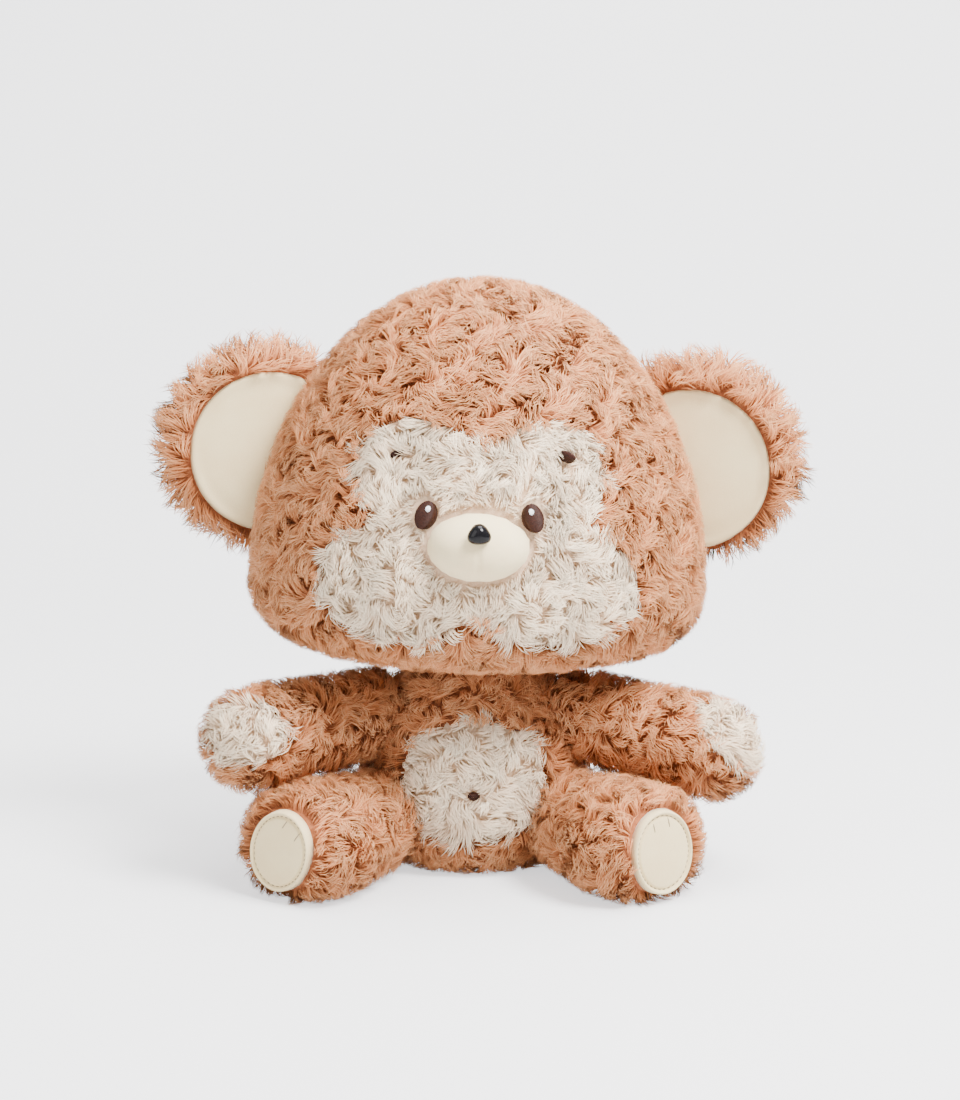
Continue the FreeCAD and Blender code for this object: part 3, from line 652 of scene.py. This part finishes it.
class Sheet:
    """The plane a thin CAD piece lies in: its middle, its two main directions and the way it faces."""

    def __init__(self, node, facing):
        points = points_of(NODES[node])
        self.middle = middle_of(node)
        axes = np.linalg.eigh(np.cov((points - self.middle).T))[1]
        self.out = axes[:, 0] * np.sign(axes[:, 0] @ np.asarray(facing, float))
        self.long = axes[:, 2] * (np.sign(axes[2, 2]) or 1)
        self.wide = np.cross(self.long, self.out)
        local = points - self.middle
        self.half_long = np.abs(local @ self.long).max()
        self.half_wide = np.abs(local @ self.wide).max()
        flat = np.stack([local @ self.wide, local @ self.long], axis=1)
        angle, reach = np.arctan2(flat[:, 1], flat[:, 0]), np.linalg.norm(flat, axis=1)
        slot = ((angle + np.pi) / (2 * np.pi) * 72).astype(int) % 72
        edge = np.array([reach[slot == i].max() if (slot == i).any() else np.nan for i in range(72)])
        known = np.flatnonzero(~np.isnan(edge))
        edge = np.interp(np.arange(72), known, edge[known], period=72)
        self.edge = (np.roll(edge, 1) + edge * 2 + np.roll(edge, -1)) / 4
        self.tree = BVHTree.FromPolygons(points.tolist(), triangles_of(NODES[node]).tolist())

    def reach(self, angle):
        """How far the outline is from the middle at an angle in the plane."""
        place = ((angle + np.pi) / (2 * np.pi) * 72 - 0.5) % 72
        return np.interp(place, np.arange(73), np.append(self.edge, self.edge[0]))

    def at(self, wide, long, lift=0.0):
        """A point on the piece's front, raised by lift along the way it faces."""
        start = self.middle + self.wide * wide + self.long * long + self.out * 60
        hit = self.tree.ray_cast(Vector(start), Vector(-self.out), 120)[0]
        if hit is None:
            near = self.tree.find_nearest(Vector(start - self.out * 60))[0]
            hit = start - self.out * 60 + self.out * ((np.array(near) - self.middle) @ self.out)
        return np.array(hit) + self.out * lift


def disc(name, sheet, body, relief, rings, grow=1.0):
    """A closed smooth panel over a sheet: relief(share) is its height above the CAD front."""
    steps = DISC_STEPS
    verts = [sheet.at(0, 0, relief(0.0))]
    for ring in range(1, rings + 1):
        share = ring / rings
        for step in range(steps):
            angle = 2 * math.pi * step / steps - math.pi
            far = sheet.reach(angle) * grow * share
            place = (math.cos(angle) * far, math.sin(angle) * far)
            inner = min(1.0, 0.97 / grow / share)
            surface = sheet.at(place[0] * inner, place[1] * inner, relief(share))
            slide = sheet.wide * place[0] * (1 - inner) + sheet.long * place[1] * (1 - inner)
            verts.append(surface + slide)
    faces = [(0, 1 + step, 1 + (step + 1) % steps) for step in range(steps)]
    for ring in range(rings - 1):
        for step in range(steps):
            after = (step + 1) % steps
            a, b = 1 + ring * steps + step, 1 + ring * steps + after
            faces.append((a, a + steps, b + steps, b))
    last = 1 + (rings - 1) * steps
    faces.append(tuple(range(last + steps - 1, last - 1, -1)))
    obj = new_object(name, verts, faces, body, LINING)
    weld(obj)
    return obj


def threads(name, lines, radius, body, material):
    """Stitches: each line of points becomes a round thread that tapers into the cloth at both ends."""
    verts, faces = [], []
    for line in lines:
        line = np.asarray(line, float)
        along = unit(np.gradient(line, axis=0))
        helper = np.array((0.0, 0.0, 1.0)) if abs(along[0, 2]) < 0.8 else np.array((1.0, 0.0, 0.0))
        side = unit(np.cross(along, helper))
        lift = np.cross(side, along)
        start, count = len(verts), len(line)
        for index in range(count):
            thick = radius * (0.35 + 0.65 * math.sin(math.pi * (index + 0.5) / count) ** 0.5)
            for turn in range(THREAD_SIDES):
                angle = 2 * math.pi * turn / THREAD_SIDES
                spoke = side[index] * math.cos(angle) + lift[index] * math.sin(angle)
                verts.append(line[index] + spoke * thick)
        for index in range(count - 1):
            ring = start + index * THREAD_SIDES
            for turn in range(THREAD_SIDES):
                a, b = ring + turn, ring + (turn + 1) % THREAD_SIDES
                faces.append((a, b, b + THREAD_SIDES, a + THREAD_SIDES))
        last = start + (count - 1) * THREAD_SIDES
        faces.append(tuple(range(start + THREAD_SIDES - 1, start - 1, -1)))
        faces.append(tuple(range(last, last + THREAD_SIDES)))
    return new_object(name, verts, faces, body, material)


def satin(name, sheet, body, pitch, radius, dome, raised=0.0):
    """Satin stitch: close threads laid across an oval, standing up in a low dome."""
    rng = random_for(name)
    half_long, half_wide = sheet.half_long, sheet.half_wide
    rows = int(2 * half_long / pitch)
    lines = []
    for row in range(rows):
        along = ((row + 0.5) / rows * 2 - 1) * half_long
        half = half_wide * math.sqrt(max(0.0, 1 - (along / half_long) ** 2)) + rng.uniform(-0.12, 0.12)
        line = []
        for step in range(9):
            across = (step / 4 - 1) * half
            share = min(1.0, math.hypot(across / half_wide, along / half_long))
            lift = raised + dome * (1 - share**2.4) + rng.uniform(-0.05, 0.05)
            tuck = raised + 0.9 if step in (0, 8) else 0.0
            line.append(sheet.at(across * 0.97, along * 0.97, lift - tuck))
        lines.append(line)
    return threads(name, lines, radius, body, DARK_THREAD)


# --- The monkey's parts -------------------------------------------------------------------------------------


def build_head():
    head = skin("head_skin", "head", ("head_cover", "face_panel"), voxel=7.0)
    stand_for(head, "brown_plush", "head_cover", "face_panel", "head_stuffing")
    line_panel(head, "face_panel", "head_cover")
    low, high = (np.array(corner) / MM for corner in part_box("muzzle_cover"))
    muzzle, muzzle_half = (low + high) / 2, (high - low) / 2
    eyes = [middle_of(f"{side}_eye") for side in SIDES]
    roots, normals = scatter(head, "head")
    face = over_panel(roots, "face_panel", "head_cover") & (roots[:, 1] < 0)

    def from_muzzle(points):
        return np.linalg.norm((points - muzzle)[:, [0, 2]] / muzzle_half[[0, 2]], axis=1)

    def from_eye(points, eye):
        """1 at the edge of the embroidered oval."""
        return np.linalg.norm((points - eye)[:, [0, 2]] / (6.2, 8.2), axis=1)

    clear = from_muzzle(roots) > 0.96
    share = 0.5 + 0.5 * smooth(1.0, 1.5, from_muzzle(roots))
    heading = np.tile(np.array(COMB_DOWN_GENTLY, float), (len(roots), 1))
    for centre, reach in [(eye, 17.0) for eye in eyes] + [(muzzle, 42.0)]:
        away = (roots - centre) * (1, 0, 1)
        distance = np.linalg.norm(away, axis=1, keepdims=True)
        heading += unit(away) * 2.6 * (1 - smooth(reach * 0.4, reach, distance))
    for eye in eyes:
        clear &= from_eye(roots, eye) > 1.05
        share = np.minimum(share, 0.38 + 0.62 * smooth(1.0, 2.4, from_eye(roots, eye)))
    for side in SIDES:
        from_brow = np.linalg.norm((roots - middle_of(f"{side}_brow_stitch"))[:, [0, 2]], axis=1)
        clear &= from_brow > BROW_CLEARING[side]
        clearing = BROW_CLEARING[side]
        share = np.minimum(share, 0.4 + 0.6 * smooth(clearing, clearing * 3 + 0.1, from_brow))
    shown = face & clear
    grow_pile("face_pile", roots[shown], normals[shown], "head", CREAM, PALE_LENGTH, heading[shown],
              share[shown], PALE_TUFT, PALE_SWIRL)
    grow_pile("head_pile", roots[~face], normals[~face], "head", BROWN)


def build_muzzle():
    muzzle = hull("muzzle", ("muzzle_cover",))
    remesh(muzzle, 2.6)
    swell(muzzle, 2.2, 1.6)
    subdivide(muzzle)
    low, high = (np.array(corner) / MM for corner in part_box("muzzle_cover"))
    middle, half = (low + high) / 2, (high - low) / 2
    nose = middle_of("nose")
    points, normals = points_of(muzzle), normals_of(muzzle)
    below = smooth(nose[2] - 2, nose[2] - 9, points[:, 2]) * (points[:, 1] < middle[1])
    crease = 0.9 * np.exp(-(((points[:, 0] - middle[0]) / 1.6) ** 2)) * below
    lowest_part = smooth(middle[2] - half[2] * 0.75, low[2], points[:, 2])
    notch = 1.6 * np.exp(-(((points[:, 0] - middle[0]) / 2.6) ** 2)) * lowest_part
    set_points(muzzle, points - normals * (crease + notch)[:, None])
    muzzle.data.materials.append(MUZZLE_CLOTH)
    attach(muzzle, "head")
    stand_for(muzzle, "lining", "muzzle_cover", "muzzle_stuffing")


def build_nose():
    """The moulded nose: a rounded triangle, domed in front, over the CAD nose's outline."""
    points = points_of(NODES["nose"])
    front = points[points[:, 1] < points[:, 1].min() + 5.2]
    middle = (front.min(0) + front.max(0)) / 2
    tip = points[:, 1].min()
    half_wide, half_high = (front.max(0) - front.min(0))[[0, 2]] / 2
    depth, rings, steps = 6.0, 20, 72
    verts = []
    for ring in range(rings + 1):
        turn = math.pi / 2 * ring / rings
        share, back = math.sin(turn) ** 0.9, depth * (1 - math.cos(turn) ** 0.85)
        for step in range(steps):
            angle = 2 * math.pi * step / steps
            reach = 1 + 0.085 * math.cos(3 * (angle - math.pi / 6) + math.pi)
            x = math.cos(angle) * half_wide * reach * share * 1.02
            z = math.sin(angle) * half_high * reach * share * 1.02
            verts.append((middle[0] + x, tip + back, middle[2] + z))
    faces = []
    for ring in range(rings):
        for step in range(steps):
            after = (step + 1) % steps
            a, b = ring * steps + step, ring * steps + after
            faces.append((a, b, b + steps, a + steps))
    faces.append(tuple(range(rings * steps, (rings + 1) * steps)))
    nose = new_object("nose_moulding", verts, faces, "head", NOSE_BLACK)
    weld(nose)
    stand_for(nose, "nose_plastic", "nose")


def build_eyes():
    for side in SIDES:
        sheet = Sheet(f"{side}_eye", (0, -1, 0))
        eye = satin(f"{side}_eye_stitches", sheet, "head", 0.42, 0.36, EYE_DOME, EYE_LIFT)
        stand_for(eye, "dark_thread", f"{side}_eye")
        glint = middle_of(f"{side}_eye_glint") - sheet.middle
        wide, long = glint @ sheet.wide, glint @ sheet.long
        lines = []
        for row in range(7):
            offset = (row - 3) * 0.36
            half = 1.75 * math.sqrt(1 - (offset / 1.25) ** 2)
            line = []
            for step in range(7):
                share = step / 3 - 1
                line.append(sheet.at(wide + offset, long + half * share, EYE_LIFT + 1.75 - 0.5 * share**2))
            lines.append(line)
        spark = threads(f"{side}_eye_glint_stitches", lines, 0.26, "head", WHITE_THREAD)
        stand_for(spark, "white_thread", f"{side}_eye_glint")
        brow = Sheet(f"{side}_brow_stitch", (0, -1, 0.3))
        stitches = satin(f"{side}_brow_stitches", brow, "head", 0.5, 0.36, 1.0, BROW_LIFT[side])
        stand_for(stitches, "dark_thread", f"{side}_brow_stitch")


def build_ear(side):
    body, cover, lining = f"{side}_ear", f"{side}_ear_cover", f"{side}_ear_lining"
    ear = skin(f"{side}_ear_skin", body, (cover, lining), voxel=4.5, inside=2.2, cap=2.0)
    stand_for(ear, "brown_plush", cover, f"{side}_ear_wadding")
    sheet = Sheet(lining, (0, -1, 0))

    def puff(share):
        """Nearly flat, with a low turned edge that dives into the pile round it."""
        edge = 0.5 * math.exp(-(((share - 0.93) / 0.05) ** 2))
        dip = 0.3 * math.exp(-(((share - 0.82) / 0.10) ** 2))
        return 1.4 + edge - dip - 4.5 * max(0.0, share - 0.97) / 0.03

    pale = disc(f"{side}_ear_pad", sheet, body, puff, rings=30)
    stand_for(pale, "lining", lining)
    roots, normals = scatter(ear, f"{side}_ear")
    local = roots - sheet.middle
    wide, long = local @ sheet.wide, local @ sheet.long
    far = np.hypot(wide, long) / sheet.reach(np.arctan2(long, wide))
    front = normals @ sheet.out > -0.1
    keep = ~(front & (far < 0.985))
    outward = unit(np.outer(wide, sheet.wide) + np.outer(long, sheet.long))
    heading = outward * np.where(front, 1.6, 0.8)[:, None]
    grow_pile(f"{side}_ear_pile", roots[keep], normals[keep], body, BROWN, EAR_LENGTH, heading[keep])


def build_torso():
    covers = ("torso_cover", "tummy_patch", "seat_panel")
    torso = skin("torso_skin", "torso", covers, seated=True)
    stand_for(torso, "brown_plush", *covers, "torso_stuffing")
    line_panel(torso, "tummy_patch", "torso_cover")
    roots, normals = scatter(torso, "torso")
    tummy = over_panel(roots, "tummy_patch", "torso_cover") & (roots[:, 1] < 0)
    navel = middle_of("navel_stitch")
    away = (roots - navel) * (1, 0, 1)
    distance = np.linalg.norm(away, axis=1, keepdims=True)
    heading = unit(away) * 1.4 * (1 - smooth(4, 12, distance)) + COMB_DOWN_GENTLY
    share = 0.6 + 0.4 * smooth(3, 11, distance[:, 0])
    shown = tummy & (distance[:, 0] > 2.0)
    grow_pile("tummy_pile", roots[shown], normals[shown], "torso", CREAM, PALE_LENGTH, heading[shown],
              share[shown], PALE_TUFT, PALE_SWIRL)
    shown = ~tummy & (roots[:, 2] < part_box("neck_seam")[0].z / MM + 2) & (roots[:, 2] > 2.0)
    grow_pile("torso_pile", roots[shown], normals[shown], "torso", BROWN)


def build_navel():
    sheet = Sheet("navel_stitch", (0, -1, 0))
    navel = satin("navel_stitches", sheet, "torso", 0.5, 0.34, 1.2)
    stand_for(navel, "dark_thread", "navel_stitch")


def build_label():
    """The blank care label: a folded strip of satin with a slight wave, held in the back seam."""
    low, high = (np.array(corner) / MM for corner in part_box("care_label"))
    middle = (low + high) / 2
    columns, rows, verts = 18, 14, []
    for layer in (-0.25, 0.25):
        for row in range(rows + 1):
            for column in range(columns + 1):
                u, v = column / columns, row / rows
                wave = (0.6 * math.sin(u * 5.0 + 0.8) - 1.4 * v + 0.25 * math.sin(u * 11 + v * 3)) * v
                across = low[0] + (high[0] - low[0]) * u
                along = low[1] + (high[1] - low[1]) * v
                verts.append((across, along, middle[2] + wave + layer))
    width, sheet_size = columns + 1, (columns + 1) * (rows + 1)
    faces = []
    for row in range(rows):
        for column in range(columns):
            a = row * width + column
            faces.append((a, a + 1, a + 1 + width, a + width))
            faces.append(tuple(index + sheet_size for index in (a, a + width, a + 1 + width, a + 1)))
    rim = list(range(width))
    rim += [i * width + columns for i in range(1, rows + 1)]
    rim += [rows * width + i for i in range(columns - 1, -1, -1)]
    rim += [i * width for i in range(rows - 1, 0, -1)]
    for index, a in enumerate(rim):
        b = rim[(index + 1) % len(rim)]
        faces.append((a, a + sheet_size, b + sheet_size, b))
    label = new_object("care_label_cloth", verts, faces, "torso", SATIN)
    weld(label)
    stand_for(label, "label_satin", "care_label")


def build_arm(side):
    body, cover, patch = f"{side}_arm", f"{side}_arm_cover", f"{side}_hand_patch"
    arm = skin(f"{side}_arm_skin", body, (cover, patch), voxel=5.0)
    stand_for(arm, "brown_plush", cover, patch, f"{side}_arm_stuffing")
    line_panel(arm, patch, cover, HAND_PATCH_MARGIN)
    roots, normals = scatter(arm, f"{side}_arm")
    pale = over_panel(roots, patch, cover, HAND_PATCH_MARGIN)
    along = unit(middle_of(patch) - np.array(JOINTS[f"{side}_arm_raise"]["pos_m"]) / MM) * 0.6
    grow_pile(f"{side}_hand_pile", roots[pale], normals[pale], body, CREAM, length=PALE_LENGTH, comb=along)
    grow_pile(f"{side}_arm_pile", roots[~pale], normals[~pale], body, BROWN, comb=along)


def build_leg(side):
    body, cover, pad = f"{side}_leg", f"{side}_leg_cover", f"{side}_foot_pad"
    leg = skin(f"{side}_leg_skin", body, (cover, pad), voxel=5.0, seated=True)
    stand_for(leg, "brown_plush", cover, f"{side}_leg_stuffing")
    hip = np.array(JOINTS[f"{side}_leg_lift"]["pos_m"]) / MM
    sheet = Sheet(pad, middle_of(pad) - hip)

    def puff(share):
        """A low cushion, a groove under the topstitching and a turned edge outside it."""
        cushion = 2.4 * (1 - share**3)
        groove = 1.0 * math.exp(-(((share - SOLE_STITCH_LINE) / 0.03) ** 2))
        turned = 1.3 * math.exp(-(((share - 0.94) / 0.045) ** 2))
        return 0.4 + cushion - groove + turned - 3.5 * max(0.0, share - 0.975) / 0.025

    sole = disc(f"{side}_sole", sheet, body, puff, rings=40, grow=SOLE_SPREAD)
    stand_for(sole, "lining", pad)
    stitches = []
    for number in range(SOLE_STITCHES):
        line = []
        for step in range(5):
            angle = 2 * math.pi * (number + 0.56 * step / 4) / SOLE_STITCHES - math.pi
            far = sheet.reach(angle) * SOLE_SPREAD * SOLE_STITCH_LINE
            lift = puff(SOLE_STITCH_LINE) + 0.25 * math.sin(math.pi * step / 4) + 0.05
            line.append(sheet.at(math.cos(angle) * far, math.sin(angle) * far, lift))
        stitches.append(line)
    top = threads(f"{side}_sole_topstitching", stitches, 0.28, body, TOPSTITCH)
    stand_for(top, "dark_thread", f"{side}_pad_stitching")
    toes = []
    for shift in (-0.27, 0.27):
        across = sheet.half_wide * shift
        top_level = math.sqrt(1 - shift**2) * sheet.half_long * 0.86
        line = []
        for step in range(7):
            level = top_level - 5.5 * step / 6
            share = math.hypot(across / sheet.half_wide, level / sheet.half_long) / SOLE_SPREAD
            line.append(sheet.at(across, level, puff(share) + 0.1 - 0.35 * (step in (0, 6))))
        toes.append(line)
    toe = threads(f"{side}_toe_threads", toes, 0.3, body, TOPSTITCH)
    stand_for(toe, "dark_thread", f"{side}_toe_stitches")

    roots, normals = scatter(leg, f"{side}_leg")
    local = roots - sheet.middle
    wide, long, deep = local @ sheet.wide, local @ sheet.long, local @ sheet.out
    far = np.hypot(wide, long) / sheet.reach(np.arctan2(long, wide))
    keep = ~((far < 1.1) & (deep > -5)) & (roots[:, 2] > 0.5)
    radial = unit(np.outer(wide, sheet.wide) + np.outer(long, sheet.long))
    near = smooth(-18, -3, deep)[:, None]
    heading = radial * 1.7 * near + sheet.out * 0.5 * (1 - near)
    share = 1 - 0.3 * smooth(-10, -2, deep)
    roots, normals, heading, share = roots[keep], normals[keep], heading[keep], share[keep]
    grow_pile(f"{side}_leg_pile", roots, normals, body, BROWN, comb=heading, share=share)


def build_joint_cloth():
    """The cloth that covers the filling where a limb or the neck bends."""
    for body in ["neck"] + [f"{side}_{place}" for side in SIDES for place in ("shoulder", "hip")]:
        node = f"{body}_stuffing"
        ball = skin(f"{node}_skin", body, (node,), voxel=5.0, inside=2.5, cap=1.5, seated=True)
        stand_for(ball, "brown_plush", node)


def dress_inner_parts():
    """The parts carried over from the CAD model, seen only if the monkey is opened."""
    materials = {"pellet_fill": PLASTIC, "pellet_pouch": POUCH_CLOTH, "nose_washer": PLASTIC}
    for node, obj in NODES.items():
        if not obj.hide_render:
            obj.data.materials.clear()
            obj.data.materials.append(materials.get(node, BROWN_THREAD))


# --- Floor, light and camera --------------------------------------------------------------------------------


def build_stage():
    made = Nodes("pale_floor", roughness=0.75)
    cloud = made.noise(2, 2)
    made.set("Base Color", made.ramp(cloud, ((0.3, (0.64, 0.64, 0.645)), (0.7, (0.66, 0.66, 0.665)))))
    made.set("Emission Color", (1.0, 1.0, 1.02, 1))
    seen = made.add("ShaderNodeLightPath").outputs["Is Camera Ray"]
    made.set("Emission Strength", made.maths("MULTIPLY", seen, 1.15))
    size, back, top, radius = 30000.0, 1500.0, 3600.0, 900.0
    profile = [(-size, 0.0), (back - radius, 0.0)]
    for step in range(1, 13):
        angle = math.pi / 2 * step / 12
        profile.append((back - radius + radius * math.sin(angle), radius - radius * math.cos(angle)))
    profile.append((back, top))
    verts = [(x, y, z) for x in (-size, size) for y, z in profile]
    count = len(profile)
    faces = [(i, i + count, i + count + 1, i + 1) for i in range(count - 1)]
    floor = new_object("studio_floor", verts, faces, None, made.material)


def area_light(name, place, target, size, power, colour=(1, 1, 1)):
    data = bpy.data.lights.new(name, "AREA")
    data.shape = "RECTANGLE"
    data.size, data.size_y = size
    data.energy = power
    data.color = colour
    lamp = bpy.data.objects.new(name, data)
    lamp.location = place
    lamp.rotation_euler = (Vector(target) - Vector(place)).to_track_quat("-Z", "Y").to_euler()
    bpy.context.scene.collection.objects.link(lamp)


def build_light():
    world = bpy.data.worlds.new("studio")
    world.use_nodes = True
    world.node_tree.nodes["Background"].inputs["Color"].default_value = (0.93, 0.93, 0.95, 1)
    world.node_tree.nodes["Background"].inputs["Strength"].default_value = 0.8
    bpy.context.scene.world = world
    middle = (0, 0, 0.17)
    area_light("key", (1.0, -0.9, 1.8), middle, (0.9, 0.9), 155)
    area_light("fill", (-1.5, -1.0, 0.9), middle, (1.4, 1.4), 16)
    area_light("top", (0.3, 0.1, 2.0), middle, (1.2, 1.2), 62)


def build_camera():
    data = bpy.data.cameras.new("camera")
    data.sensor_width = 36
    data.lens = 88
    camera = bpy.data.objects.new("camera", data)
    bpy.context.scene.collection.objects.link(camera)
    rise, distance = math.radians(10), 1.5
    aim = Vector((0.0034, 0.0, 0.1751))
    camera.location = aim + Vector((0, -math.cos(rise), math.sin(rise))) * distance
    camera.rotation_euler = (aim - camera.location).to_track_quat("-Z", "Y").to_euler()
    bpy.context.scene.camera = camera


build_head()
build_muzzle()
build_nose()
build_eyes()
build_torso()
build_navel()
build_label()
for name in SIDES:
    build_ear(name)
    build_arm(name)
    build_leg(name)
build_joint_cloth()
dress_inner_parts()
build_stage()
build_light()
build_camera()
